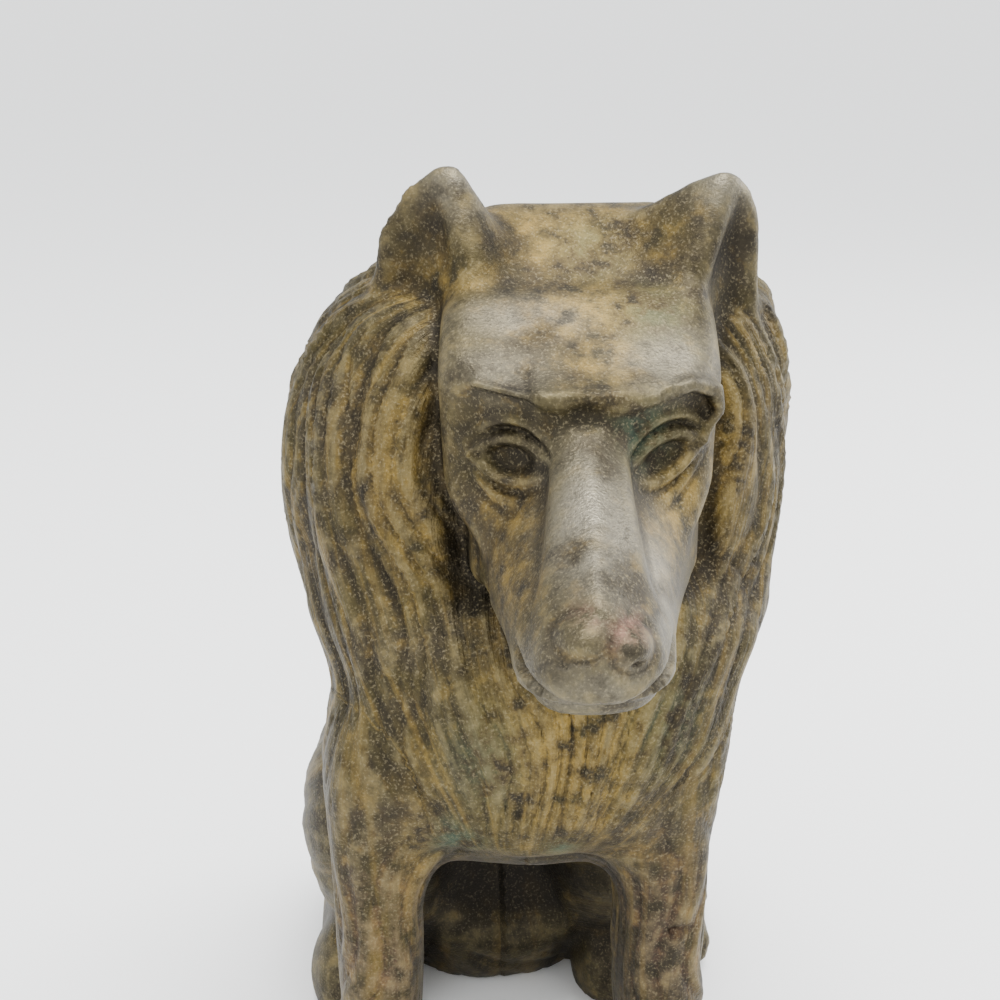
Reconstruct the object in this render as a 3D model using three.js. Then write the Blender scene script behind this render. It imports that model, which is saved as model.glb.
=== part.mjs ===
// A small sitting collie, cast in one piece of brass. Millimetres, +Z up, the dog faces -Y.
// The form is one smooth blend of simple shapes, turned into a faceted solid on a grid.
import * as THREE from "three";

// Driving dimensions of the stance, in millimetres
const legSpan = 41;
const legGap = 20.6;
const legDepth = 13;
const legMiddle = 2.5;
const archHeight = 33.5;
const elbowHeight = 52;
const pawLength = 19;
const pawHeight = 8.5;
const hindPawSpread = 16.5;
const hindPawWidth = 13;
const hindPawHeight = 12.4;
const hindPawFront = 21.8;
const hindPawBack = 46;
const thighSpread = 14.2;
const kneeHeight = 25;
const flankHeight = 70;
const rumpBack = 60;
const tailThickness = 10.5;

// Driving dimensions of the head
const noseReach = 29.4;
const noseHeight = 71.3;
const noseWidth = 7.6;
const mouthHeight = 68.2;
const jawDrop = 2.6;
const stopReach = 7;
const stopHeight = 84;
const bridgeWidth = 4.6;
const bridgeFall = 2.9;
const muzzleWidth = 13.2;
const browReach = 7.6;
const browHeight = 87.2;
const browArch = 0.7;
const foreheadReach = -6;
const foreheadHeight = 94.2;
const skullHeight = 100.5;
const skullBack = 24;
const skullWidth = 25.8;
const skullShift = 0.6;
const cheekWidth = 24.8;
const eyeSpacing = 14;
const eyeHeight = 80.6;
const eyeWidth = 6.8;
const eyeTall = 4;
const eyeDepth = 1.9;
const headTurn = 0.097;
const headMiddleAtNose = 2.85;
const earTipHeight = 106.1;
const earEdgeHeight = 100;
const earBaseHeight = 92.5;
const earRim = 1.4;
const earCup = 2.6;

// Relief of the coat
const lockDepth = 2.4;
const creaseDepth = 1.7;
const creaseWidth = 3.4;
const maneLocks = 15;
const maneTiers = 21;
const coatDepth = 1.5;
const coatLocks = 15;

// Size of the facets where the head is and away from it
const fineStep = 1.9;
const coarseStep = 4;
const soleStep = 0.02;
const crossingMargin = 0.03;

const clamp = (value, low, high) => Math.min(Math.max(value, low), high);
const mix = (a, b, share) => a + (b - a) * share;
const ease = (low, high, value) => {
  const share = clamp((value - low) / (high - low), 0, 1);
  return share * share * (3 - 2 * share);
};

// Joins two distances with a fillet, or cuts one by the other with a rounded edge
function join(a, b, fillet) {
  const share = Math.max(fillet - Math.abs(a - b), 0) / fillet;
  return Math.min(a, b) - share * share * fillet * 0.25;
}
function common(a, b, fillet) {
  return -join(-a, -b, fillet);
}
function carve(a, tool, fillet) {
  return common(a, -tool, fillet);
}

// A smooth curve through a few stations, level beyond the first and the last
function profile(...stations) {
  const slope = (i) => {
    const before = stations[Math.max(i - 1, 0)];
    const after = stations[Math.min(i + 1, stations.length - 1)];
    return i === 0 || i === stations.length - 1 ? 0 : (after[1] - before[1]) / (after[0] - before[0]);
  };
  const slopes = stations.map((_, i) => slope(i));
  return (at) => {
    if (at <= stations[0][0]) {
      return stations[0][1];
    }
    const next = stations.findIndex((station) => station[0] > at);
    if (next < 0) {
      return stations[stations.length - 1][1];
    }
    const [x0, y0] = stations[next - 1];
    const [x1, y1] = stations[next];
    const run = x1 - x0;
    const t = (at - x0) / run;
    const rise = t * t * (3 - 2 * t);
    const lead = t * (1 - t) * (1 - t) * run * slopes[next - 1];
    const tail = t * t * (t - 1) * run * slopes[next];
    return mix(y0, y1, rise) + lead + tail;
  };
}

// Distance to an ellipsoid, a round cone between two balls, and a bent one through several
function ellipsoid(x, y, z, middle, radii) {
  const a = (x - middle[0]) / radii[0];
  const b = (y - middle[1]) / radii[1];
  const c = (z - middle[2]) / radii[2];
  const size = Math.hypot(a, b, c);
  const steep = Math.hypot(a / radii[0], b / radii[1], c / radii[2]);
  return steep < 1e-9 ? -Math.min(...radii) : (size * (size - 1)) / steep;
}
function limb(x, y, z, from, to, fromRadius, toRadius) {
  const along = [to[0] - from[0], to[1] - from[1], to[2] - from[2]];
  const square = along[0] ** 2 + along[1] ** 2 + along[2] ** 2;
  const dot = (x - from[0]) * along[0] + (y - from[1]) * along[1] + (z - from[2]) * along[2];
  const t = clamp(dot / square, 0, 1);
  const near = from.map((start, i) => start + t * along[i]);
  const away = Math.hypot(x - near[0], y - near[1], z - near[2]);
  return away - mix(fromRadius, toRadius, t);
}
function bentLimb(x, y, z, points, radii) {
  let nearest = Infinity;
  for (let i = 1; i < points.length; i += 1) {
    nearest = Math.min(nearest, limb(x, y, z, points[i - 1], points[i], radii[i - 1], radii[i]));
  }
  return nearest;
}

// A lock of hair across its width: a round ridge with a sharp valley at each side
function lock(turns) {
  const share = turns - Math.floor(turns);
  return Math.sqrt(Math.sin(Math.PI * share)) - 0.62;
}

// The head is built about its own midline, which turns a little to the dog's right
const midline = (y) => headMiddleAtNose + (y + noseReach) * headTurn;

// Muzzle: a wedge with a narrow rounded bridge, a crease on each side, flaring lips and a thin lower jaw
const bridgeHeight = profile(
  [-noseReach, noseHeight + 1.3],
  [-noseReach + 2.8, noseHeight + 2.8],
  [-noseReach + 10.6, noseHeight + 6.6],
  [-stopReach - 3, stopHeight - 1.8],
  [-stopReach + 1, stopHeight + 0.6],
  [-stopReach + 6, stopHeight + 3],
);
const creaseHalf = profile(
  [-noseReach, bridgeWidth + 0.4],
  [-noseReach + 6.4, bridgeWidth + 0.7],
  [-noseReach + 10.6, bridgeWidth],
  [-stopReach - 3, bridgeWidth - 0.7],
  [-stopReach + 3, bridgeWidth - 1],
);
const lipHalf = profile(
  [-noseReach, muzzleWidth * 0.24],
  [-noseReach + 2.9, muzzleWidth * 0.38],
  [-noseReach + 5.4, muzzleWidth * 0.44],
  [-noseReach + 12.4, muzzleWidth * 0.51],
  [-stopReach - 3, cheekWidth * 0.33],
  [-stopReach + 3, cheekWidth * 0.44],
  [0, cheekWidth * 0.5],
);
function muzzle(s, y, z) {
  const side = Math.hypot(s, 0.8) - 0.15;
  const top = bridgeHeight(y);
  const edge = creaseHalf(y);
  const slope = (z - top) * 0.75 + (side - bridgeWidth / 2) * 0.8;
  const block = common(common(z - top, slope, 2), (side - edge) * 0.9, 1.2);
  const cheek = (z - top + bridgeFall + 1.1 * (side - edge)) * 0.66;
  const tuck = ease(mouthHeight - 0.1, mouthHeight - 1.2, z) * ease(-12, -20, y);
  const lips = common(cheek, (side - lipHalf(y)) * 0.93, 1.8) + 0.9 * tuck;
  const under = mouthHeight - jawDrop + 0.06 * (y + noseReach) - z;
  const front = -noseReach + 0.07 * side * side - y + 1.7 * tuck;
  const shell = common(join(block, lips, 1.6), common(under, front, 1.6), 2.2);
  return common(shell, y - 10, 3);
}

// Cranium: a flat sloping forehead that rises to the skull, and the front of the face below it
const crownHeight = profile(
  [-browReach, browHeight],
  [-foreheadReach - 1, foreheadHeight - 0.6],
  [-foreheadReach + 1, foreheadHeight],
  [-foreheadReach + 3, foreheadHeight + 1.4],
  [-foreheadReach + 9, skullHeight - 0.4],
  [-foreheadReach + 12, skullHeight],
  [skullBack, skullHeight - 3],
);
const skullHalf = profile(
  [mouthHeight - 3, cheekWidth * 0.3],
  [mouthHeight + 3, cheekWidth * 0.43],
  [mouthHeight + 8, cheekWidth * 0.5],
  [eyeHeight + 2, skullWidth * 0.5],
  [foreheadHeight, skullWidth * 0.5],
  [skullHeight, skullWidth * 0.42],
);
const faceFront = profile(
  [mouthHeight, -stopReach - 3.5],
  [mouthHeight + 6, -stopReach - 1.8],
  [eyeHeight, -stopReach + 0.2],
  [eyeHeight + 3.4, -stopReach + 0.8],
  [browHeight - 1.6, -browReach + 1],
  [browHeight - 0.8, -browReach + 0.3],
  [browHeight, -browReach - 0.3],
);
function cranium(s, y, z) {
  const side = Math.abs(s);
  const arched = z - browArch * ease(2, 8, side) + 1.1 * ease(9.5, 12.5, side);
  const front = (faceFront(arched) + 0.035 * s * s - y) * 0.85;
  const offset = Math.abs(s + skullShift * ease(84, 92, z));
  const shell = common((z - crownHeight(y)) * 0.84, offset - skullHalf(z), 3.2);
  return common(common(shell, front, 1), common(mouthHeight - 2 - z, y - skullBack, 4), 3);
}

// Eyes: a shallow hollow with the round of the lids in it, the outer corner of the left one lifted
function eyeRelief(s, y, z) {
  const side = Math.abs(s) - eyeSpacing / 2;
  const up = z - eyeHeight - side * (s > 0 ? 0.26 : 0.02);
  const hollow = Math.exp(-1.4 * Math.hypot(side / (eyeWidth * 0.82), up / eyeTall) ** 2);
  const round = Math.exp(-(Math.hypot(side / (eyeWidth * 0.44), up / (eyeTall * 0.52)) ** 4));
  const onFace = ease(2, -3, y) * ease(-13.5, -10.5, y) * ease(90, 88, z) * ease(73, 75.5, z);
  return eyeDepth * (1.1 * round - 1.5 * hollow) * onFace;
}

// Brows: a ledge over the right eye, and over the left one a ridge that curls down past it
const ledge = [
  [-2.6, -browReach + 0.7, browHeight - 1.3],
  [-5, -browReach + 0.9, browHeight - 0.6],
  [-10.4, -browReach + 3.6, browHeight + 0.2],
];
const curl = [
  [2.6, -browReach + 0.7, browHeight - 1.6],
  [6.4, -browReach + 1.2, browHeight - 0.9],
  [9.3, -browReach + 2.4, browHeight],
  [11.6, -browReach + 3.9, browHeight - 0.9],
  [12.1, -browReach + 4.8, browHeight - 3],
  [10.6, -browReach + 4.3, browHeight - 5.2],
];
function brows(s, y, z) {
  const right = bentLimb(s, y, z, ledge, [0.7, 0.9, 0.8]);
  const left = bentLimb(s, y, z, curl, [0.7, 0.9, 1.1, 1.2, 1.1, 0.8]);
  return Math.min(right, left);
}

// Ears: each is what lies between planes through six corners, with a cup sunk in its outer front face
function makeEar(...places) {
  const corners = places.map((place) => new THREE.Vector3(...place));
  const [tip, edge, outer, fold, inner, back] = corners;
  const middle = corners.reduce((sum, corner) => sum.add(corner), new THREE.Vector3()).divideScalar(6);
  const facing = (a, b, c) => {
    const plane = new THREE.Plane().setFromCoplanarPoints(a, b, c);
    return plane.distanceToPoint(middle) > 0 ? plane.negate() : plane;
  };
  const fronts = [facing(tip, edge, fold), facing(edge, outer, fold)];
  const sides = [
    facing(fold, inner, tip),
    facing(inner, back, tip),
    facing(tip, back, edge),
    facing(edge, back, outer),
  ];
  const at = new THREE.Vector3();
  const within = (planes, fillet) =>
    planes.map((plane) => plane.distanceToPoint(at)).reduce((a, b) => common(a, b, fillet));
  return (x, y, z) => {
    at.set(x, y, z);
    const front = within(fronts, 1);
    const wall = within(sides, 1.4);
    const cup = common(wall + earRim, -front - earCup, 1);
    const form = carve(common(front, wall, 0.8) - 0.3, cup, 0.8);
    return common(form, earBaseHeight - 7 - z, 2);
  };
}
const ears = [
  makeEar(
    [-5.6, 12.5, earTipHeight],
    [-12, 13.4, earEdgeHeight],
    [-13.6, 13.8, earBaseHeight],
    [-3.4, 6.6, earBaseHeight],
    [2.2, 11.2, earBaseHeight],
    [-4.4, 22, earBaseHeight],
  ),
  makeEar(
    [20.6, 10.4, earTipHeight - 0.8],
    [23.7, 11.4, earEdgeHeight + 1],
    [23.9, 11.6, earBaseHeight],
    [16, 5, earBaseHeight],
    [10, 14, earBaseHeight + 6],
    [18.2, 21.5, earBaseHeight],
  ),
];

function head(x, y, z) {
  const s = x - midline(y);
  const side = Math.abs(s);
  let form = join(cranium(s, y, z) - eyeRelief(s, y, z), muzzle(s, y, z), 1.6);
  form = join(form, brows(s, y, z), 1.6);
  const notch = ellipsoid(s, y, z, [-0.4, -browReach - 0.6, browHeight - 2.2], [2, 1.5, 1.1]);
  form = carve(form, notch, 0.8);
  const pad = ellipsoid(s, y, z, [0.2, -noseReach + 2.9, noseHeight + 0.4], [noseWidth / 2, 2.9, 2.3]);
  form = join(form, pad, 0.8);
  const droop = mouthHeight - 0.75 + 0.045 * side * side + 0.05 * (y + noseReach);
  form += 0.6 * Math.exp(-(((z - droop) / 0.5) ** 2)) * ease(-19, -24, y);
  return ears.reduce((sum, ear) => join(sum, ear(x, y, z), 1.4), form);
}

// Mane: sections that widen from the nape to the cheeks and close to a bib between the legs
const maneTop = 99.5;
const maneFoot = archHeight + 5.6;
const maneMiddle = profile([archHeight, 0.6], [52, 2.9], [76, 3.1], [88, 4.4], [maneTop, 6]);
const maneHalf = profile(
  [maneFoot, 4],
  [maneFoot + 2, 9],
  [maneFoot + 6, 14],
  [50, 19.5],
  [54, 22],
  [61, 25],
  [78, 26],
  [89, 23.6],
  [95, 18],
  [maneTop, 10],
);
const maneFront = profile(
  [maneFoot, -5.4],
  [44, -7.4],
  [52, -8.6],
  [60, -7.6],
  [66, -3],
  [80, 0],
  [90, 5],
  [maneTop, 9],
);
const maneBack = profile([maneFoot, 26], [52, 36], [66, 37.5], [80, 35.5], [90, 32], [maneTop, 27]);
const maneRoof = profile([0, 87], [7, 91], [14, 94.2], [22, 98], [27, maneTop]);
const maneClosing = profile([40, 0.62], [60, 0.84], [80, 1], [maneTop, 1.12]);
function mane(x, y, z) {
  const half = maneHalf(z);
  const middle = (maneFront(z) + maneBack(z)) / 2;
  const deep = (maneBack(z) - maneFront(z)) / 2;
  const a = (x - maneMiddle(z)) / half;
  const b = (y - middle) / deep;
  const size = (Math.abs(a) ** 2.25 + Math.abs(b) ** 2.25) ** (1 / 2.25);
  const turn = Math.atan2(a, -b) / (2 * Math.PI);
  const along = turn / maneClosing(z);
  const wander = 0.5 * Math.sin(z * 0.11 + 6 * Math.PI * along) * ease(0.5, 0.42, Math.abs(turn));
  const strand = lock(maneLocks * along + wander);
  const tier = lock((z + 5 * Math.sin(turn * Math.PI * 14)) / maneTiers);
  const relief = lockDepth * (strand + 0.4 * tier) * ease(maneFoot, maneFoot + 8, z);
  const wall = (size - 1) * Math.min(half, deep) * 0.94 - relief;
  return common(wall, common(maneFoot - z, (z - maneRoof(y)) * 0.8, 3), 2);
}

// Body: the barrel slopes from the shoulders to the rump, with ruff-like locks along it
const shoulder = [0.8, 19, 55];
const pelvis = [-0.4, rumpBack - 20, 21];
function torso(x, y, z) {
  const turn = Math.atan2(x - shoulder[0] * 0.5, z - flankHeight + y * 1.1) / (2 * Math.PI);
  const strand = lock(coatLocks * turn + 0.6 * Math.sin((z - y) * 0.12));
  const tier = lock((z - y * 0.9 + 4 * Math.sin(turn * 44)) / maneTiers);
  const barrel = limb(x, y, z, shoulder, pelvis, 16.6, 17.6);
  const rump = ellipsoid(x, y, z, [0, rumpBack - 17, 14], [18, 17, 20]);
  const chest = ellipsoid(x, y, z, [1.2, 8.5, archHeight + 15.5], [17.5, 12.5, 18]);
  return join(join(barrel, rump, 6), chest, 5) - coatDepth * (0.7 * strand + 0.5 * tier);
}

// Haunch: thigh and knee, with the long hind foot flat below
function haunch(x, y, z) {
  const side = Math.abs(x + 0.4);
  const fan = Math.atan2(z - 8, y - 52);
  const strand = lock(7 * fan + 0.3 * Math.sin(y * 0.3));
  const thigh = ellipsoid(side, y, z, [thighSpread, rumpBack - 21, 20], [9.2, 17.5, 16.5]);
  const knee = ellipsoid(side, y, z, [thighSpread + 1.2, hindPawFront + 9.5, kneeHeight], [7.2, 8.6, 9.6]);
  return join(thigh, knee, 5) - coatDepth * 0.8 * strand;
}
function hindFoot(x, y, z) {
  const side = Math.abs(x + 0.4) - hindPawSpread;
  const half = hindPawWidth / 2;
  const toes = ellipsoid(side, y, z, [0, hindPawFront + 7, 3.2], [half, 7, hindPawHeight - 3.2]);
  const heel = limb(side, y, z, [0, hindPawFront + 8, 4], [-0.5, hindPawBack, 4.5], half - 0.8, half - 0.6);
  const onToes = ease(hindPawFront + 8, hindPawFront, y);
  const cleft = 0.55 * Math.abs(Math.cos((side * Math.PI) / 3.1)) ** 6 * onToes;
  return join(toes, heel, 2.5) + cleft;
}

// Foreleg: an upright post of feathered fur that ends in a rounded paw
const legHalf = (legSpan - legGap) / 4;
const legSpread = (legSpan + legGap) / 4;
const legGirth = profile([0, -0.4], [10, -0.75], [20, -0.1], [34, 0], [46, 0.6]);
function foreleg(x, y, z) {
  const side = Math.abs(x) - legSpread;
  const girth = legGirth(z);
  const wide = Math.abs(side) - legHalf - girth;
  const deep = Math.abs(y - legMiddle) - legDepth / 2 - girth;
  const round = common(wide, deep, 5);
  const around = Math.atan2(side, -(y - legMiddle)) / (2 * Math.PI);
  const strand = lock(11 * around + 0.35 * Math.sin(z * 0.16) + 0.5);
  const relief = 0.62 * strand * ease(5, 12, z);
  const post = common(round - relief, z - elbowHeight, 3);
  const pawFront = legMiddle - legDepth / 2 - 6.6;
  const middle = pawFront + pawLength / 2;
  const paw = ellipsoid(side, y, z, [0, middle, 1.6], [legHalf + 0.9, pawLength / 2, pawHeight - 1.6]);
  const cleft = 0.5 * Math.abs(Math.cos((side * Math.PI) / 2.9)) ** 6 * ease(middle, pawFront, y);
  return join(post, paw + cleft, 3);
}

// Tail: it lies on the floor and curls round the dog's left haunch
function tail(x, y, z) {
  const thick = tailThickness / 2;
  const rest = thick - 1.2;
  const path = [
    [2, rumpBack - 6, rest + 2],
    [12, rumpBack + 0.5, rest],
    [20.5, rumpBack - 7, rest],
    [24.2, rumpBack - 18, rest],
    [24.6, rumpBack - 28, rest - 0.6],
  ];
  const bend = 0.6 * Math.sin(x * 0.5 + y * 0.35);
  return bentLimb(x, y, z, path, [thick, thick + 0.4, thick + 0.6, thick, thick * 0.6]) + bend * 0.5;
}

// The whole figure, cut off level where it meets the floor at z = 0
function figure(x, y, z) {
  const belly = ellipsoid(x, y, z, [1, legMiddle + 12.5, archHeight - 14.5], [14, 15, 15]);
  const trunk = common(torso(x, y, z), Math.min(archHeight - z, 12 - y), 4);
  let form = join(carve(trunk, belly, 3), haunch(x, y, z), 2.2);
  const skull = head(x, y, z);
  const crease = mix(creaseDepth, 0.7, ease(78, 86, z)) * ease(creaseWidth, 0, skull) * ease(14, 6, y);
  form = join(form, mane(x, y, z) + crease, 2);
  form = join(form, foreleg(x, y, z), 4);
  form = join(form, hindFoot(x, y, z), 1.4);
  form = join(form, tail(x, y, z), 2.6);
  return z < 0 ? coarseStep : join(form, skull, 1.1);
}

// Grid lines along one axis, close together between the two given places
function gridLines(low, high, fineFrom, fineTo) {
  const lines = [low];
  while (lines[lines.length - 1] < high) {
    const at = lines[lines.length - 1];
    const near = ease(fineFrom - 6, fineFrom, at) * ease(fineTo + 6, fineTo, at);
    lines.push(at + mix(coarseStep, fineStep, near));
  }
  return lines;
}

// The edges of a grid cell are numbered axis by axis, and each face links the edges that one sheet crosses
const edgeNumber = (axis, du, dv) => axis * 4 + du + 2 * dv;
function sheetsOf(inside) {
  const group = Array.from({ length: 12 }, (_, i) => i);
  const link = (a, b) => {
    const [from, to] = [group[a], group[b]];
    group.forEach((value, i) => {
      group[i] = value === from ? to : value;
    });
  };
  for (let normal = 0; normal < 3; normal += 1) {
    const [p, q] = [(normal + 1) % 3, (normal + 2) % 3];
    for (const side of [0, 1]) {
      const corner = (a, b) => inside((side << normal) | (a << p) | (b << q));
      const edges = [
        [edgeNumber(p, 0, side), corner(0, 0) !== corner(1, 0)],
        [edgeNumber(p, 1, side), corner(0, 1) !== corner(1, 1)],
        [edgeNumber(q, side, 0), corner(0, 0) !== corner(0, 1)],
        [edgeNumber(q, side, 1), corner(1, 0) !== corner(1, 1)],
      ];
      const crossed = edges.filter((edge) => edge[1]).map((edge) => edge[0]);
      if (crossed.length) {
        link(...crossed);
      }
    }
  }
  return group;
}

// Where only opposite corners of a grid face are inside, the weaker of the other two is filled,
// so that two sheets never share an edge
function settle(values, strides) {
  let changed = true;
  while (changed) {
    changed = false;
    for (let at = 0; at + strides[1] + strides[2] < values.length; at += 1) {
      for (let normal = 0; normal < 3; normal += 1) {
        const [p, q] = [strides[(normal + 1) % 3], strides[(normal + 2) % 3]];
        const face = [at, at + p, at + p + q, at + q];
        const [a, b, c, d] = face.map((corner) => values[corner] < 0);
        if (a === c && b === d && a !== b) {
          const [one, other] = face.filter((corner) => values[corner] >= 0);
          values[values[one] < values[other] ? one : other] = -crossingMargin;
          changed = true;
        }
      }
    }
  }
}

// One vertex for each sheet of the surface in a grid cell, one square for each crossed grid edge
function polygonise(field, xs, ys, zs) {
  const lines = [xs, ys, zs];
  const counts = lines.map((line) => line.length);
  const strides = [1, counts[0], counts[0] * counts[1]];
  const indexOf = (cell) => cell[0] * strides[0] + cell[1] * strides[1] + cell[2] * strides[2];
  const eachCell = (first, visit) => {
    const cell = [first, first, first];
    for (cell[2] = first; cell[2] + 1 < counts[2]; cell[2] += 1) {
      for (cell[1] = first; cell[1] + 1 < counts[1]; cell[1] += 1) {
        for (cell[0] = first; cell[0] + 1 < counts[0]; cell[0] += 1) {
          visit(cell, indexOf(cell));
        }
      }
    }
  };
  const values = new Float64Array(counts[0] * counts[1] * counts[2]);
  zs.forEach((z, k) => ys.forEach((y, j) => xs.forEach((x, i) => {
    values[indexOf([i, j, k])] = field(x, y, z);
  })));
  settle(values, strides);
  const positions = [];
  const around = lines.map(() => new Int32Array(values.length * 4));
  eachCell(0, (cell, base) => {
    const inside = (bits) => {
      const offset = (bits & 1) * strides[0] + ((bits >> 1) & 1) * strides[1] + (bits >> 2) * strides[2];
      return values[base + offset] < 0;
    };
    const corners = [0, 1, 2, 3, 4, 5, 6, 7].filter(inside).length;
    if (corners === 0 || corners === 8) {
      return;
    }
    const group = sheetsOf(inside);
    const sheets = new Map();
    for (let axis = 0; axis < 3; axis += 1) {
      const [u, v] = [(axis + 1) % 3, (axis + 2) % 3];
      for (const [du, dv] of [[0, 0], [1, 0], [0, 1], [1, 1]]) {
        const start = base + du * strides[u] + dv * strides[v];
        const [a, b] = [values[start], values[start + strides[axis]]];
        if (a < 0 === b < 0) {
          continue;
        }
        const at = [0, 0, 0];
        at[u] = lines[u][cell[u] + du];
        at[v] = lines[v][cell[v] + dv];
        const share = clamp(a / (a - b), crossingMargin, 1 - crossingMargin);
        at[axis] = mix(lines[axis][cell[axis]], lines[axis][cell[axis] + 1], share);
        const name = group[edgeNumber(axis, du, dv)];
        const sheet = sheets.get(name) ?? { points: [], users: [] };
        sheet.points.push(at);
        sheet.users.push([axis, start * 4 + du + 2 * dv]);
        sheets.set(name, sheet);
      }
    }
    for (const { points, users } of sheets.values()) {
      users.forEach(([axis, slot]) => {
        around[axis][slot] = positions.length / 3;
      });
      const middle = [0, 1, 2].map((i) => points.reduce((sum, point) => sum + point[i], 0) / points.length);
      positions.push(middle[0], middle[1], Math.max(middle[2], 0));
    }
  });
  const apart = (a, b) =>
    Math.hypot(...[0, 1, 2].map((i) => positions[a * 3 + i] - positions[b * 3 + i]));
  const triangles = [];
  eachCell(1, (cell, base) => {
    for (let axis = 0; axis < 3; axis += 1) {
      const inside = values[base] < 0;
      if (inside === values[base + strides[axis]] < 0) {
        continue;
      }
      const ring = [0, 1, 3, 2].map((corner) => around[axis][base * 4 + corner]);
      const [a, b, c, d] = inside ? ring : ring.reverse();
      triangles.push(...(apart(a, c) <= apart(b, d) ? [a, b, c, a, c, d] : [a, b, d, b, c, d]));
    }
  });
  return { positions, triangles };
}

const xs = gridLines(-36, 42, -6, 19);
const ys = gridLines(-noseReach - 6, rumpBack + 12, -noseReach - 2, 17);
const zs = [-2 * soleStep, -soleStep, ...gridLines(0, earTipHeight + 6, 63, earTipHeight + 3)];
const surface = polygonise(figure, xs, ys, zs);

const geometry = new THREE.BufferGeometry();
geometry.setAttribute("position", new THREE.Float32BufferAttribute(surface.positions, 3));
geometry.setIndex(surface.triangles);
geometry.computeBoundingBox();
const box = geometry.boundingBox;
geometry.translate(-(box.min.x + box.max.x) / 2, -(box.min.y + box.max.y) / 2, 0);

const agedBrass = new THREE.MeshStandardMaterial({ color: 0x77694a, roughness: 0.5, metalness: 0.9 });
const collie = new THREE.Mesh(geometry, agedBrass);
collie.name = "collie_casting";

const figurine = new THREE.Group();
figurine.add(collie);

export default figurine;
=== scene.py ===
import logging
import math
from dataclasses import dataclass, field
from enum import Enum

import bmesh
import bpy
import numpy as np
from mathutils import Matrix, Vector


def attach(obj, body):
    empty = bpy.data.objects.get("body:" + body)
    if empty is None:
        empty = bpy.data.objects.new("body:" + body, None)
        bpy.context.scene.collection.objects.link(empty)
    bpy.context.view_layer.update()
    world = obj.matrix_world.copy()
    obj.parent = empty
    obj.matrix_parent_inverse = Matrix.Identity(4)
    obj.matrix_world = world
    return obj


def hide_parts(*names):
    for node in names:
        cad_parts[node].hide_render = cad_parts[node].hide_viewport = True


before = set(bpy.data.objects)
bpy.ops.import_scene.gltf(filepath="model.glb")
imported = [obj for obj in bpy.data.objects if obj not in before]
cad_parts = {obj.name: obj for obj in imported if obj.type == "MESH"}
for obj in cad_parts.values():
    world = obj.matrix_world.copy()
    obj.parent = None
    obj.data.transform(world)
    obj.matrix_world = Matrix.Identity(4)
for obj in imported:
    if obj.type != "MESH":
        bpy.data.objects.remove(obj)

log = logging.getLogger("collie")

MM = 0.001
CASTING_NODE = "collie_casting"
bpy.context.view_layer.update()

# The figure is shaped in millimetres about the middle of its forelegs, which stands here in the frame.
LEGS_MIDDLE_X = -3.05
LEGS_MIDDLE_Y = -18.4

# A lock's mean height, taken off so that the coat neither fattens nor thins the form under it.
LOCK_MEAN = 0.62

Array = np.ndarray
Point = tuple[float, float, float]
Tree = bpy.types.NodeTree
Socket = bpy.types.NodeSocket


def mix(a: Array | float, b: Array | float, share: Array | float) -> Array | float:
    """Blends a into b by share."""
    return a + (b - a) * share


def ease(low: float, high: float, value: Array | float) -> Array:
    """A smooth step from 0 at low to 1 at high."""
    share = np.clip((np.asarray(value) - low) / (high - low), 0.0, 1.0)
    return share * share * (3.0 - 2.0 * share)


def join(a: Array, b: Array, fillet: float) -> Array:
    """Joins two distances with a fillet of the given size."""
    share = np.maximum(fillet - np.abs(a - b), 0.0) / fillet
    return np.minimum(a, b) - share * share * fillet * 0.25


def common(a: Array, b: Array, fillet: float) -> Array:
    """Keeps what two distances share, with a rounded edge."""
    return -join(-a, -b, fillet)


def carve(a: Array, tool: Array, fillet: float) -> Array:
    """Cuts a tool out of a form, with a rounded edge."""
    return common(a, -tool, fillet)


def ellipsoid(p: Array, middle: Point, radii: Point) -> Array:
    """Distance to an ellipsoid.

    Args:
        p: Points, one row each.
        middle: The ellipsoid's middle.
        radii: Its half sizes.

    Returns:
        The distance of each point, negative inside.
    """
    a = (p - np.array(middle)) / np.array(radii)
    size = np.linalg.norm(a, axis=1)
    steep = np.linalg.norm(a / np.array(radii), axis=1)
    return size * (size - 1.0) / np.maximum(steep, 1e-6)


def limb(p: Array, points: list[Point], radii: list[float]) -> Array:
    """Distance to a bent round bar whose thickness changes from point to point.

    Args:
        p: Points, one row each.
        points: The bar's bends.
        radii: Its half thickness at each bend.

    Returns:
        The distance of each point, negative inside.
    """
    nearest = np.full(len(p), 1e9)
    for start, end, first, last in zip(points, points[1:], radii, radii[1:]):
        along = np.subtract(end, start)
        t = np.clip((p - np.array(start)) @ along / (along @ along), 0.0, 1.0)
        away = np.linalg.norm(p - np.array(start) - t[:, None] * along, axis=1)
        nearest = np.minimum(nearest, away - mix(first, last, t))
    return nearest


def ridge(turns: Array) -> Array:
    """Repeated round ridges with a sharp valley between them, one to a turn."""
    return np.sqrt(np.sin(np.pi * (turns - np.floor(turns))))


def lock(turns: Array) -> Array:
    """Locks of hair across their width, about their mean height."""
    return ridge(turns) - LOCK_MEAN


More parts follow.
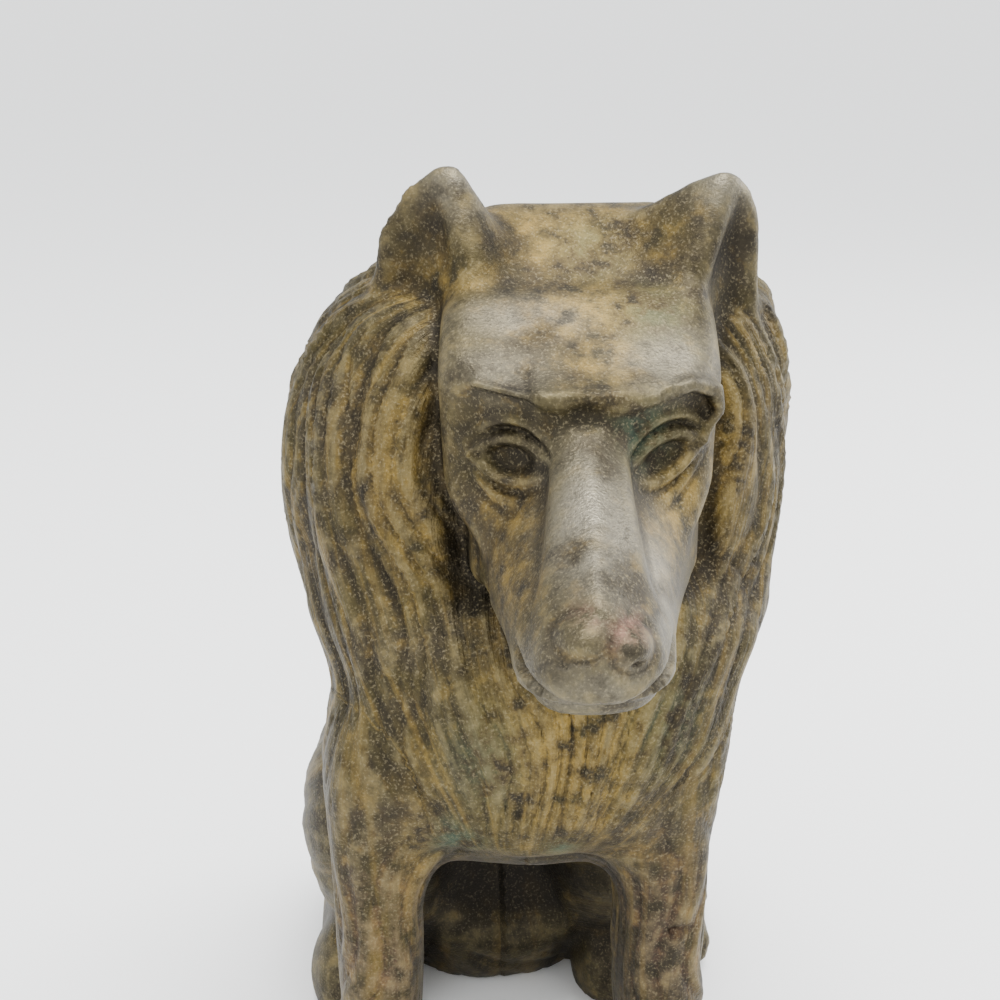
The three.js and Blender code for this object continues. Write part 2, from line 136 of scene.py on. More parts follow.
@dataclass(frozen=True)
class Profile:
    """A smooth curve through a few stations, level beyond the first and the last."""

    stations: tuple[tuple[float, float], ...]

    def __call__(self, at: Array) -> Array:
        """The curve's height at each place.

        Args:
            at: Places along the curve.

        Returns:
            The curve's height at each place.
        """
        xs, ys = np.array(self.stations).T
        slopes = np.zeros(len(xs))
        slopes[1:-1] = (ys[2:] - ys[:-2]) / (xs[2:] - xs[:-2])
        inside = np.clip(at, xs[0], xs[-1])
        n = np.clip(np.searchsorted(xs, inside, side="right"), 1, len(xs) - 1)
        run = xs[n] - xs[n - 1]
        t = (inside - xs[n - 1]) / run
        rise = mix(ys[n - 1], ys[n], t * t * (3.0 - 2.0 * t))
        return rise + run * (t * (1.0 - t) ** 2 * slopes[n - 1] + t * t * (t - 1.0) * slopes[n])


@dataclass
class Head:
    """Muzzle, cranium, brows, eyes, nose and mouth, about a midline that turns with the head."""

    nose_reach: float = 29.4
    middle_at_nose: float = 2.85
    turn: float = 0.097
    mouth_height: float = 68.2
    jaw_drop: float = 2.6
    brow_reach: float = 7.6
    brow_height: float = 87.2
    eye_spread: float = 7.0
    eye_height: float = 80.6
    eye_half: float = 4.0
    skull_back: float = 24.0
    skull_shift: float = 0.6
    bridge: Profile = Profile(
        ((-29.4, 72.6), (-26.6, 74.1), (-18.8, 77.9), (-10, 82.2), (-6, 84.6), (-1, 87))
    )
    bridge_arch: float = 0.115
    bridge_fall: float = 3.8
    crease_half: Profile = Profile(((-29.4, 4.9), (-23, 4.9), (-18.8, 4.3), (-10, 3.6), (-4, 3.4)))
    outer_half: Profile = Profile(
        ((-29.4, 4.0), (-26.5, 5.7), (-24, 6.4), (-17, 7.1), (-10, 8.4), (-4, 9.9), (0, 10.8))
    )
    crown: Profile = Profile(
        ((-7.6, 87.2), (5, 93.6), (7, 94.2), (9, 95.6), (15, 100.1), (18, 100.5), (24, 97.5))
    )
    skull_half: Profile = Profile(
        ((65, 4.6), (69, 6.4), (72, 8.8), (75, 11.6), (78, 12.7), (94.2, 12.9), (100.5, 10.8))
    )
    face_front: Profile = Profile(
        ((68, -10.5), (74, -8.8), (78, -7.6), (80.5, -7.2), (84, -7), (85.6, -7.25), (86.4, -7.6), (87.2, -8))
    )
    nose_ridge: float = 0.22
    philtrum_depth: float = 0.14
    philtrum_half: float = 0.32
    mouth_depth: float = 0.6
    mouth_half: float = 0.34

    def midline(self, y: Array) -> Array:
        """The head's own middle at each depth."""
        return self.middle_at_nose + (y + self.nose_reach) * self.turn

    def muzzle(self, s: Array, y: Array, z: Array) -> Array:
        """A wedge with a narrow rounded bridge, a crease on each side and flaring lips.

        Args:
            s: Places across the head, from its midline.
            y: Depths, from front to back.
            z: Heights.

        Returns:
            The distance of each point, negative inside.
        """
        side = np.hypot(s, 1.2) - 0.25
        top = self.bridge(y)
        edge = self.crease_half(y)
        block = common((z - top + self.bridge_arch * s * s) * 0.86, (side - edge) * 0.9, 1.1)
        cheek = ((z - top + self.bridge_fall) + 1.1 * (side - edge)) * 0.66
        outer = (side - self.outer_half(y)) * 0.93
        lips = common(cheek, outer, 1.8)
        tuck = ease(self.mouth_height - 0.1, self.mouth_height - 1.2, z) * ease(-12, -20, y)
        lips = lips + 0.9 * tuck
        form = join(block, lips, 0.9)
        under = self.mouth_height - self.jaw_drop + 0.06 * (y + self.nose_reach) - z
        front = -self.nose_reach + 0.07 * side * side - y + 1.7 * tuck
        form = common(form, common(under, front, 1.6), 2.2)
        return common(form, y - 10.0, 3.0)

    def cranium(self, s: Array, y: Array, z: Array) -> Array:
        """A flat sloping forehead that rises to the skull, and the front under the brows.

        Args:
            s: Places across the head, from its midline.
            y: Depths, from front to back.
            z: Heights.

        Returns:
            The distance of each point, negative inside.
        """
        side = np.abs(s)
        arched = z - 0.7 * ease(2.0, 8.0, side) + 1.1 * ease(9.5, 12.5, side)
        front = (self.face_front(arched) + 0.035 * s * s - y) * 0.85
        offset = np.abs(s + self.skull_shift)
        shell = common((z - self.crown(y)) * 0.84, offset - self.skull_half(z), 3.2)
        ends = common(self.mouth_height - 2.0 - z, y - self.skull_back, 4.0)
        return common(common(shell, front, 1.5), ends, 3.0)

    def brows(self, s: Array, y: Array, z: Array) -> Array:
        """The ridge over each eye; the dog's left one ends in a long curl down past the eye.

        Args:
            s: Places across the head, from its midline.
            y: Depths, from front to back.
            z: Heights.

        Returns:
            The distance of each point, negative inside.
        """
        p = np.stack([s, y, z], axis=1)
        reach, height = -self.brow_reach, self.brow_height
        right = [
            (-2.6, reach + 0.7, height - 1.3),
            (-5, reach + 0.9, height - 0.6),
            (-10.4, reach + 3.6, height + 0.2),
        ]
        left = [
            (2.6, reach + 0.7, height - 1.6),
            (6.4, reach + 1.2, height - 0.9),
            (9.3, reach + 2.4, height),
            (11.6, reach + 3.9, height - 0.9),
            (12.1, reach + 4.8, height - 3),
            (10.6, reach + 4.3, height - 5.2),
        ]
        return np.minimum(limb(p, right, [0.25, 0.35, 0.3]), limb(p, left, [0.25, 0.35, 0.55, 0.7, 0.6, 0.4]))

    def eye_relief(self, s: Array, z: Array) -> Array:
        """How far the lids, ball, creases and bags stand out from the face.

        Args:
            s: Places across the head.
            z: Heights.

        Returns:
            The relief at each place, negative where it is hollow.
        """
        side = np.abs(s) - self.eye_spread
        up = z - self.eye_height - side * np.where(s > 0, 0.26, 0.02)
        bow = np.clip(1.0 - (side / self.eye_half) ** 2, -0.6, 1.0)

        def line(height: float, wide: float = 1.0) -> Array:
            """Distance to a curved line over or under the eye.

            Args:
                height: How far the line bows up or down at the eye's middle.
                wide: The line's reach, as a share of the eye's half width.

            Returns:
                The distance of each place to the line, positive above it.
            """
            curve = height * np.clip(1.0 - (side / (self.eye_half * wide)) ** 2, -0.6, 1.0)
            steep = 2.0 * height * side / (self.eye_half * wide) ** 2
            return (up - curve) / np.sqrt(1.0 + np.clip(steep * steep, 0.0, 4.0))

        def stroke(away: Array, width: float) -> Array:
            """A soft ridge of the given width."""
            return np.exp(-((away / width) ** 2))

        ends = ease(1.25, 0.95, np.abs(side) / self.eye_half)
        upper_lid, lower_lid = stroke(line(2.0), 0.42), stroke(line(-2.0), 0.46)
        relief = 0.75 * ends * (upper_lid + lower_lid)
        relief = relief + 0.5 * ease(0.0, 0.9, bow) * stroke(up, 1.9)
        oval = np.hypot(side / 2.2, up / 1.35)
        relief = relief - 0.55 * ease(1.0, 0.7, oval) + 0.3 * stroke(oval - 1.2, 0.2)
        crease, fold = stroke(line(2.75, 1.1), 0.3), stroke(line(3.5, 1.15), 0.5)
        relief = relief - 0.5 * ends * crease + 0.45 * ends * fold
        crease, bag = stroke(line(-2.8, 1.1), 0.32), stroke(line(-3.6, 1.15), 0.55)
        relief = relief - 0.42 * ends * crease + 0.38 * ends * bag
        relief = relief - 0.25 * ends * stroke(line(-4.5, 1.2), 0.4)
        socket = np.hypot(side / 6.2, (up - 0.4) / 4.6)
        return relief - 0.7 * stroke(socket, 0.85)

    def nose(self, base: Array, s: Array, y: Array, z: Array) -> Array:
        """Adds the nose pad and its nostrils, the groove under it and the line of the mouth.

        Args:
            base: Distances to the head so far.
            s: Places across the head, from its midline.
            y: Depths, from front to back.
            z: Heights.

        Returns:
            The distances with the nose and mouth worked in.
        """
        side = np.abs(s)
        p = np.stack([s, y, z], axis=1)
        q = np.stack([side, y, z], axis=1)
        front = -self.nose_reach
        right_lobe = ellipsoid(p, (-1.1, front + 3.1, 72.5), (2.3, 2.7, 1.6))
        left_lobe = ellipsoid(p, (2.3, front + 2.6, 71.7), (1.9, 2.4, 1.6))
        pad = np.minimum(right_lobe, left_lobe)
        form = join(base, pad, 0.5)
        form = form + self.nose_ridge * np.exp(-(((pad - 0.4) / 0.35) ** 2)) * ease(-22.0, -24.5, y)
        form = carve(form, ellipsoid(q, (3.1, front + 0.8, 70.9), (0.7, 0.6, 0.28)), 0.3)
        groove = self.philtrum_depth * np.exp(-((side / self.philtrum_half) ** 2))
        form = form + groove * ease(71.4, 70.6, z) * ease(67.0, 67.8, z) * ease(-24, -27, y)
        droop = self.mouth_height - 0.75 + 0.045 * side * side + 0.05 * (y + self.nose_reach)
        mouth = (z - droop) / self.mouth_half
        return form + self.mouth_depth * np.exp(-mouth * mouth) * ease(-19.0, -24.0, y)

    def distance(self, p: Array, fine: bool) -> Array:
        """Distance of each point to the whole head without its ears, with the eyes worked in where fine.

        Args:
            p: Points in the figure's millimetres, one row each.
            fine: Whether the fine relief is worked in.

        Returns:
            The distance of each point, negative inside.
        """
        y, z = p[:, 1], p[:, 2]
        s = p[:, 0] - self.midline(y)
        form = self.cranium(s, y, z)
        if fine:
            window = ease(2.0, -3.0, y) * ease(-13.5, -10.5, y) * ease(90.0, 88.0, z) * ease(73.0, 75.5, z)
            form = form - self.eye_relief(s, z) * window
        form = join(form, self.muzzle(s, y, z), 1.6)
        form = join(form, self.brows(s, y, z), 1.2)
        notch = ellipsoid(np.stack([s, y, z], axis=1), (-0.4, -8.2, 85.0), (2.0, 1.5, 1.1))
        form = carve(form, notch, 0.8)
        if not fine:
            return form
        step = 0.28 * ease(-4.4, -5.8, s) * ease(-9.0, -7.0, y) * ease(-2.0, -3.2, y)
        return self.nose(form, s, y, z) + step


@dataclass
class Ear:
    """One pricked ear: a six-cornered form with a shallow dish in its outer front face."""

    tip: Point
    edge: Point
    outer: Point
    fold: Point
    inner: Point
    back: Point
    rim: float = 0.5
    rim_slope: float = 2.4
    dish: float = 1.5
    swell: float = 0.75

    def outward(self, corners: tuple[Point, Point, Point]) -> Array:
        """Direction of the plane through three corners, away from the ear's middle.

        Args:
            corners: The plane's three corners.

        Returns:
            The direction, one millimetre long.
        """
        a, b, c = (np.array(corner) for corner in corners)
        normal = np.cross(b - a, c - a)
        middle = np.mean([self.tip, self.edge, self.outer, self.fold, self.inner, self.back], axis=0)
        return normal / np.linalg.norm(normal) * -np.sign((middle - a) @ normal)

    def front_corners(self) -> tuple[tuple[Point, Point, Point], ...]:
        """The corners of the upper and the lower half of the front face."""
        return (self.tip, self.edge, self.fold), (self.edge, self.outer, self.fold)

    def faces(self, p: Array) -> tuple[Array, Array]:
        """Distances to the dished front face and to the ear's other sides.

        Args:
            p: Points in the figure's millimetres, one row each.

        Returns:
            The distance of each point to the front face, and to the other sides.
        """

        def plane(*corners: Point) -> Array:
            """Distance to the plane through three corners."""
            return (p - np.array(corners[0])) @ self.outward(corners)

        front = common(*(plane(*corners) for corners in self.front_corners()), 1.0)
        walls = plane(self.fold, self.inner, self.tip)
        corners = [(self.inner, self.back, self.tip), (self.tip, self.back, self.edge)]
        for face in [*corners, (self.edge, self.back, self.outer)]:
            walls = common(walls, plane(*face), 1.8)
        return front + self.dish * ease(-self.rim, -self.rim - self.rim_slope, walls), walls

    def distance(self, p: Array) -> Array:
        """Distance of each point to the ear, with its dish and rounded edges."""
        form = common(*self.faces(p), 1.5) - self.swell
        return common(form, self.outer[2] - 7.0 - p[:, 2], 2.0)

    def fill_cup(self, p: Array) -> Array:
        """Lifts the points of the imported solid's deep cup out to the shallow dish.

        Args:
            p: Points in the figure's millimetres, one row each.

        Returns:
            The points, with those of the cup lifted.
        """
        front, walls = self.faces(p)
        upper, lower = self.front_corners()
        outward = self.outward(upper) + self.outward(lower)
        outward = outward / np.linalg.norm(outward)
        sunk = (walls < -0.8) & (front < self.swell) & (p[:, 2] > self.outer[2] + 0.5)
        return np.where(sunk[:, None], p + outward * (self.swell - front)[:, None], p)


@dataclass
class Coat:
    """Locks and strands that follow one flow; all widths and depths are in millimetres."""

    lock_width: float = 12.7
    lock_depth: float = 0.62
    strand_width: float = 3.9
    strand_depth: float = 0.46
    hair_width: float = 1.6
    hair_depth: float = 0.2
    sway: float = 3.0
    tier: float = 21.0
    tier_depth: float = 0.4
    tier_sway: float = 5.0

    def tiers(self, turn: Array, along: Array) -> Array:
        """Rows of lock ends round the form, which rise and fall as they go."""
        return self.tier_depth * lock((along + self.tier_sway * np.sin(turn * np.pi * 14.0)) / self.tier)

    def layer(self, across: Array, along: Array, width: float, depth: float) -> Array:
        """One size of lock: each has its own fullness, which swells and fades along it.

        Args:
            across: Places across the strands, in millimetres.
            along: Places along the strands, in millimetres.
            width: The width of one lock.
            depth: How far the locks stand out.

        Returns:
            How far these locks stand out at each place.
        """
        number = np.floor(across / width)
        chance = np.abs(np.sin(number * 12.9898 + width) * 43.7585) % 1.0
        full = (0.7 + 0.6 * chance) * (0.78 + 0.22 * np.sin(along / (1.9 * width) + 6.3 * chance))
        return depth * (ridge(across / width) * full - LOCK_MEAN)

    def relief(self, flow: Array, loose: Array | float = 1.0) -> Array:
        """Relief of the coat.

        Args:
            flow: Places across and along the strands, in millimetres.
            loose: How freely the locks sway, 0 along the parting at the back.

        Returns:
            How far the coat stands out at each place.
        """
        across, along = flow.T
        slow = self.sway * np.sin(along * 0.11 + across * 0.1)
        quick = 1.1 * np.sin(along * 0.31 - across * 0.16)
        sway = loose * (slow + quick)
        relief = self.layer(across + sway, along, self.lock_width, self.lock_depth)
        sway = sway * 1.25 + loose * 0.8 * np.sin(along * 0.23 + across * 0.21)
        relief = relief + self.layer(across + sway, along, self.strand_width, self.strand_depth)
        sway = sway * 1.1 + loose * 0.25 * np.sin(along * 0.5 + across * 0.4)
        return relief + self.layer(across + sway, along, self.hair_width, self.hair_depth)


@dataclass
class Mane:
    """The ruff: sections that widen from the nape to the cheeks and close to a bib between the legs."""

    foot: float = 39.1
    middle: Profile = Profile(((33.5, 0.6), (52, 2.9), (76, 3.1), (88, 4.4), (99.5, 6)))
    half: Profile = Profile(
        ((39.1, 9), (41.1, 13), (45.1, 16), (50, 19), (54, 21), (61, 24.4), (78, 26), (89, 23.6), (95, 18))
        + ((99.5, 10),)
    )
    front: Profile = Profile(
        ((39.1, -5.4), (44, -7.4), (52, -8.6), (60, -7.6), (66, -3), (80, 0), (90, 5), (99.5, 9))
    )
    back: Profile = Profile(((39.1, 26), (52, 36), (66, 37.5), (80, 35.5), (90, 32), (99.5, 27)))
    roof: Profile = Profile(((0, 87), (7, 91.0), (14, 94.2), (22, 98), (27, 99.5)))
    converge: Profile = Profile(((40, 0.62), (60, 0.84), (80, 1.0), (90, 0.85), (99, 0.5)))
    girth: float = 190.5
    coat: Coat = field(default_factory=Coat)

    def distance(self, p: Array, fine: bool) -> tuple[Array, Array]:
        """Distance of each point to the mane, with its locks where fine, and the flow of its strands.

        Args:
            p: Points in the figure's millimetres, one row each.
            fine: Whether the fine relief is worked in.

        Returns:
            The distance of each point, negative inside, and the place across and along the strands there.
        """
        x, y, z = p.T
        front, back = self.front(z), self.back(z)
        half, deep = self.half(z), (back - front) / 2.0
        a = (x - self.middle(z)) / half
        b = (y - (front + back) / 2.0) / deep
        size = (np.abs(a) ** 2.25 + np.abs(b) ** 2.25) ** (1 / 2.25)
        turn = np.arctan2(a, -b) / (2.0 * np.pi)
        flow = np.stack([self.girth * turn / self.converge(z), z], axis=1)
        wall = (size - 1.0) * np.minimum(half, deep) * 0.94
        if fine:
            relief = self.coat.relief(flow, ease(0.5, 0.42, np.abs(turn))) + self.coat.tiers(turn, z)
            wall = wall - relief * ease(self.foot, self.foot + 8.0, z)
        return common(wall, common(self.foot - z, (z - self.roof(y)) * 0.8, 3.0), 2.0), flow


@dataclass
class Body:
    """Barrel, rump, chest and haunches."""

    arch_height: float = 33.5
    rump_back: float = 60.0
    thigh_spread: float = 14.2
    knee_height: float = 25.0
    foot_front: float = 21.8
    haunch_middle: float = -0.4
    hip_depth: float = 52.0
    hip_height: float = 8.0
    fan_reach: float = 25.0
    girth: float = 112.0
    coat: Coat = field(
        default_factory=lambda: Coat(
            lock_width=7.5,
            lock_depth=0.6,
            strand_width=3.2,
            strand_depth=0.36,
            hair_width=1.3,
            hair_depth=0.14,
            tier_depth=0.5,
            tier_sway=4.0,
        )
    )

    def distance(self, p: Array, fine: bool) -> tuple[Array, Array]:
        """Distance of each point to the trunk and haunches, with their coat where fine, and its flow.

        Args:
            p: Points in the figure's millimetres, one row each.
            fine: Whether the fine relief is worked in.

        Returns:
            The distance of each point, negative inside, and the place across and along the strands there.
        """
        x, y, z = p.T
        shoulder, pelvis = (0.8, 19.0, 55.0), (-0.4, self.rump_back - 20.0, 21.0)
        turn = np.arctan2(x - 0.4, z - 70.0 + y * 1.1) / (2.0 * np.pi)
        along = z - 0.9 * y
        flow = np.stack([self.girth * turn, along], axis=1)
        relief = 0.0
        if fine:
            relief = self.coat.tiers(turn, along) + self.coat.relief(flow)
        rump = ellipsoid(p, (0, self.rump_back - 17, 14), (18, 17, 20))
        chest = ellipsoid(p, (1.2, 8.5, self.arch_height + 15.5), (17.5, 12.5, 18))
        trunk = join(limb(p, [shoulder, pelvis], [16.6, 17.6]), rump, 6.0)
        trunk = join(trunk, chest, 5.0) - relief
        trunk = common(trunk, np.minimum(self.arch_height - z, 12.0 - y), 4.0)
        trunk = carve(trunk, ellipsoid(p, (1.0, 15.0, 19.0), (14.0, 15.0, 15.0)), 3.0)
        haunch, fan = self.haunch(p, fine)
        return join(trunk, haunch, 2.2), np.where((haunch < trunk)[:, None], fan, flow)

    def haunch(self, p: Array, fine: bool) -> tuple[Array, Array]:
        """Thigh and knee, with strands that fan out from the hip where fine, and their flow.

        Args:
            p: Points in the figure's millimetres, one row each.
            fine: Whether the fine relief is worked in.

        Returns:
            The distance of each point, negative inside, and the place across and along the strands there.
        """
        side, y, z = np.abs(p[:, 0] - self.haunch_middle), p[:, 1], p[:, 2]
        q = np.stack([side, y, z], axis=1)
        up, behind = z - self.hip_height, y - self.hip_depth
        flow = np.stack([self.fan_reach * np.arctan2(up, behind), np.hypot(up, behind)], axis=1)
        relief = self.coat.relief(flow, 0.4) if fine else 0.0
        thigh = ellipsoid(q, (self.thigh_spread, self.rump_back - 21, 20), (9.2, 17.5, 16.5))
        bent = (self.thigh_spread + 1.2, self.foot_front + 9.5, self.knee_height)
        knee = ellipsoid(q, bent, (7.2, 8.6, 9.6))
        return join(thigh, knee, 5.0) - relief, flow


@dataclass
class Legs:
    """Forelegs with their feathering and paws, and the hind feet."""

    span: float = 38.4
    gap: float = 20.6
    deep: float = 13.0
    middle: float = 2.5
    foot_front: float = 21.8
    foot_back: float = 46.0
    foot_spread: float = 16.5
    girth: Profile = Profile(((0, -0.4), (10, -0.75), (20, -0.1), (34, 0), (46, 0.6)))
    around: float = 36.0
    paw_reach: float = 6.6
    paw_half: float = 9.5
    toe_width: float = 2.9
    hind_toe_width: float = 3.1
    hind_middle: float = -0.4
    cleft_depth: float = 0.55
    coat: Coat = field(
        default_factory=lambda: Coat(
            lock_width=6.0,
            lock_depth=0.25,
            strand_width=3.3,
            strand_depth=0.42,
            hair_width=1.3,
            hair_depth=0.14,
            sway=0.7,
        )
    )

    def cleft(self, side: Array, width: float) -> Array:
        """How deep the clefts between the toes are across a paw."""
        return self.cleft_depth * np.abs(np.cos(side * np.pi / width)) ** 8

    def foreleg(self, p: Array, fine: bool) -> tuple[Array, Array]:
        """Distance to both forelegs, posts of upright strands with a rounded paw, and the strands' flow.

        Args:
            p: Points in the figure's millimetres, one row each.
            fine: Whether the fine relief is worked in.

        Returns:
            The distance of each point, negative inside, and the place across and along the strands there.
        """
        y, z = p[:, 1], p[:, 2]
        half = (self.span - self.gap) / 4.0
        side = np.abs(p[:, 0]) - (self.span + self.gap) / 4.0
        girth = self.girth(z)
        round_post = common(np.abs(side) - half - girth, np.abs(y - self.middle) - self.deep / 2 - girth, 5.0)
        around = np.arctan2(side, -(y - self.middle)) / (2.0 * np.pi)
        flow = np.stack([self.around * (around + np.sign(p[:, 0])), z], axis=1)
        relief = self.coat.relief(flow) * ease(5.0, 12.0, z) if fine else 0.0
        post = common(round_post - relief, z - 54.0, 9.0)
        front = self.middle - self.deep / 2 - self.paw_reach
        middle = front + self.paw_half
        q = np.stack([side, y, z], axis=1)
        paw = ellipsoid(q, (0, middle, 1.6), (half + 0.9, self.paw_half, 6.9))
        return join(post, paw + self.cleft(side, self.toe_width) * ease(middle, front, y), 3.0), flow

    def hind_foot(self, p: Array) -> Array:
        """Distance to both hind feet, flat on the floor under the haunches.

        Args:
            p: Points in the figure's millimetres, one row each.

        Returns:
            The distance of each point, negative inside.
        """
        side = np.abs(p[:, 0] - self.hind_middle) - self.foot_spread
        q = np.stack([side, p[:, 1], p[:, 2]], axis=1)
        toes = ellipsoid(q, (0, self.foot_front + 7, 3.2), (6.5, 7, 9.2))
        heel = limb(q, [(0, self.foot_front + 8, 4), (-0.5, self.foot_back, 4.5)], [5.7, 5.9])
        ahead = ease(self.foot_front + 8, self.foot_front, p[:, 1])
        return join(toes, heel, 2.5) + self.cleft(side, self.hind_toe_width) * ahead

    def flaw(self, p: Array) -> Array:
        """Distance to the small casting hole and the level crack on the dog's left foreleg.

        Args:
            p: Points in the figure's millimetres, one row each.

        Returns:
            The distance of each point, negative inside.
        """
        hole = ellipsoid(p, (15.2, -4.6, 29.4), (0.9, 1.6, 0.75))
        crack = np.hypot((p[:, 2] - 29.7 - 0.05 * np.sin(p[:, 0] * 2.0)) / 0.35, (p[:, 1] + 4.4) / 1.4) - 1.0
        inside = ease(14.6, 15.4, p[:, 0]) * ease(20.6, 19.4, p[:, 0])
        return np.minimum(hole, mix(1.0, crack * 0.3, inside))


@dataclass
class Tail:
    """The tail lies on the floor and curls round the dog's left haunch."""

    thick: float = 5.25
    rump_back: float = 60.0

    def distance(self, p: Array, fine: bool) -> Array:
        """Distance of each point to the tail, with strands along it where fine.

        Args:
            p: Points in the figure's millimetres, one row each.
            fine: Whether the fine relief is worked in.

        Returns:
            The distance of each point, negative inside.
        """
        rest, back = self.thick - 1.2, self.rump_back
        path = [
            (2, back - 6, rest + 2),
            (12, back + 0.5, rest),
            (20.5, back - 7, rest),
            (24.2, back - 18, rest),
            (24.6, back - 28, rest - 0.6),
        ]
        radii = [self.thick, self.thick + 0.4, self.thick + 0.6, self.thick, self.thick * 0.6]
        x, y, z = p.T
        strand = 0.0
        if fine:
            strand = 0.25 * lock((z + 0.06 * y + 0.3 * np.sin(y * 0.4)) * 0.42)
            strand = strand + 0.1 * lock(z * 1.1 + 0.05 * y)
        return limb(p, path, radii) + 0.3 * np.sin(x * 0.5 + y * 0.35) - strand


@dataclass
class Figure:
    """The whole dog as one distance, from its parts."""

    head: Head = field(default_factory=Head)
    mane: Mane = field(default_factory=Mane)
    body: Body = field(default_factory=Body)
    legs: Legs = field(default_factory=Legs)
    tail: Tail = field(default_factory=Tail)
    ears: tuple[Ear, ...] = (
        Ear(
            tip=(-5.8, 12.5, 105.2),
            edge=(-12.2, 13.3, 100.4),
            outer=(-13.3, 13.8, 92.5),
            fold=(-3.4, 6.6, 92.4),
            inner=(2.2, 11.2, 92.6),
            back=(-4.4, 22, 92),
        ),
        Ear(
            tip=(20.6, 10.4, 104.5),
            edge=(23.7, 11.4, 101.0),
            outer=(23.9, 11.6, 92.5),
            fold=(16.0, 5.0, 92.2),
            inner=(10.0, 14.0, 98.6),
            back=(18.2, 21.5, 92),
        ),
    )
    ear_fillet: float = 1.4
    mane_fillet: float = 3.5
    leg_fillet: float = 6.5
    foot_fillet: float = 1.8
    head_fillet: float = 0.8

    def parts(self, p: Array, fine: bool) -> tuple[Array, Array, list[tuple[Array, Array]]]:
        """Distances to the head, to the feet, flaw and tail, and to each coated form with its flow.

        Args:
            p: Points in the figure's millimetres, one row each.
            fine: Whether the fine relief is worked in.

        Returns:
            The head's distances, those of feet and tail, and the coated forms' with their flow.
        """
        skull = self.head.distance(p, fine)
        for ear in self.ears:
            skull = join(skull, ear.distance(p), self.ear_fillet)
        crease = mix(1.7, 0.7, ease(78.0, 86.0, p[:, 2])) * ease(3.4, 0.0, skull) * ease(14.0, 6.0, p[:, 1])
        mane, flow = self.mane.distance(p, fine)
        coated = [self.body.distance(p, fine), (mane + crease, flow), self.legs.foreleg(p, fine)]
        low = join(self.legs.hind_foot(p), self.tail.distance(p, fine), 1.4)
        return skull, low, coated

    def distance(self, p: Array, fine: bool = True) -> Array:
        """Distance of each point to the figure, cut level at the floor.

        Args:
            p: Points in millimetres about the middle of the forelegs.
            fine: Whether the coat, eyes, nose and flaws are worked in.

        Returns:
            The distance of each point, negative inside.
        """
        skull, low, coated = self.parts(p, fine)
        form = coated[0][0]
        for (part, _), fillet in zip(coated[1:], (self.mane_fillet, self.leg_fillet)):
            form = join(form, part, fillet)
        form = join(join(form, low, self.foot_fillet), skull, self.head_fillet)
        if fine:
            form = carve(form, self.legs.flaw(p), 0.25)
        return np.maximum(form, -p[:, 2])

    def flow(self, p: Array) -> Array:
        """Place across and along the nearest coat's strands, and how much of a coat is there.

        Args:
            p: Points in the figure's millimetres, one row each.

        Returns:
            Across, along and the coat's share, in one row for each point.
        """
        skull, low, coated = self.parts(p, False)
        away = np.stack([part for part, _ in coated], axis=1)
        flows = np.stack([flow for _, flow in coated], axis=1)
        nearest = away.argmin(axis=1)
        rows = np.arange(len(p))
        hair = ease(0.0, 1.2, np.minimum(skull, low) - away[rows, nearest])
        return np.column_stack([flows[rows, nearest], hair])


class Web:
    """Which points of a mesh are linked, for means over each point's neighbours."""

    def __init__(self, bm: bmesh.types.BMesh) -> None:
        """Reads the links from the mesh's edges.

        Args:
            bm: The mesh.
        """
        bm.verts.index_update()
        self.links = np.array([[v.index for v in e.verts] for e in bm.edges])
        self.counts = np.bincount(self.links.ravel(), minlength=len(bm.verts)).astype(float)

    def average(self, values: Array) -> Array:
        """Mean of each point's linked points.

        Args:
            values: One row for each point.

        Returns:
            The means, in rows like the values.
        """
        total = np.zeros_like(values)
        for column in range(values.shape[1]):
            a = np.bincount(self.links[:, 0], values[self.links[:, 1], column], len(values))
            b = np.bincount(self.links[:, 1], values[self.links[:, 0], column], len(values))
            total[:, column] = a + b
        return total / self.counts[:, None]


